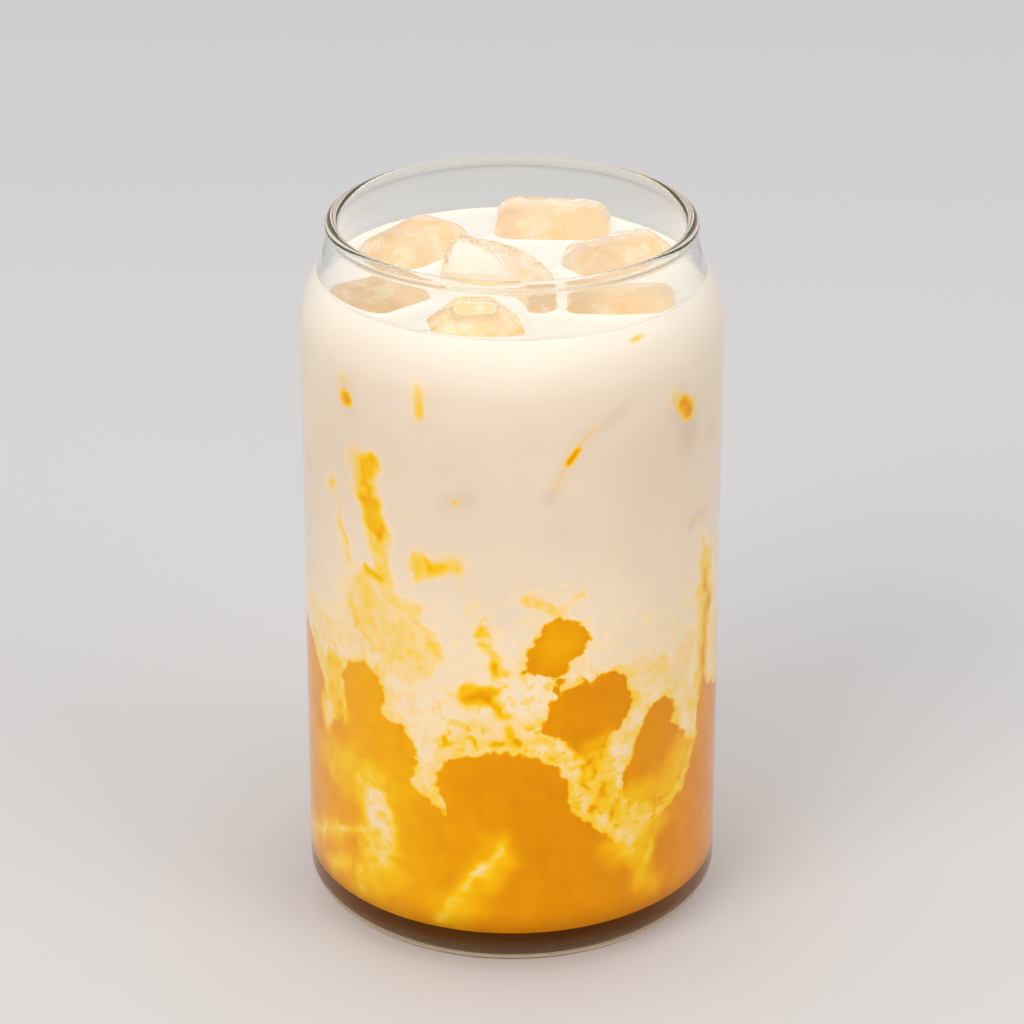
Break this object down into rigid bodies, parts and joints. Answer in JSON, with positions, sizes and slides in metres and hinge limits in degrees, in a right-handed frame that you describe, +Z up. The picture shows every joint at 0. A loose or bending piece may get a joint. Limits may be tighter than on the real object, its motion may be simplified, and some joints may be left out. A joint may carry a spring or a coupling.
{
  "type": "glass of iced mango milk",
  "caption": "Can-shaped clear glass filled with milk over mango puree that swirls up its sides, with melting ice standing out of the top",
  "frame": {"origin": "centre of the foot ring, on the surface that the glass stands on", "axes": "+Z up along the glass's axis, -Y to the front, +X to the right seen from there"},
  "size_m": [0.076, 0.076, 0.133],
  "materials": {
    "glass": "clear, polished",
    "milk": "opaque cream liquid",
    "mango": "opaque orange-yellow puree",
    "ice": "wet, cloudy"
  },
  "bodies": {
    "root": {"glass": "glass", "milk": "milk", "mango_puree": "mango", "puree_lump_upper": "mango", "puree_lump_middle": "mango", "puree_lump_small": "mango", "ice_back": "ice", "ice_back_left": "ice", "ice_centre": "ice", "ice_front": "ice", "ice_front_right": "ice", "ice_left": "ice", "ice_right": "ice"}
  },
  "joints": []
}
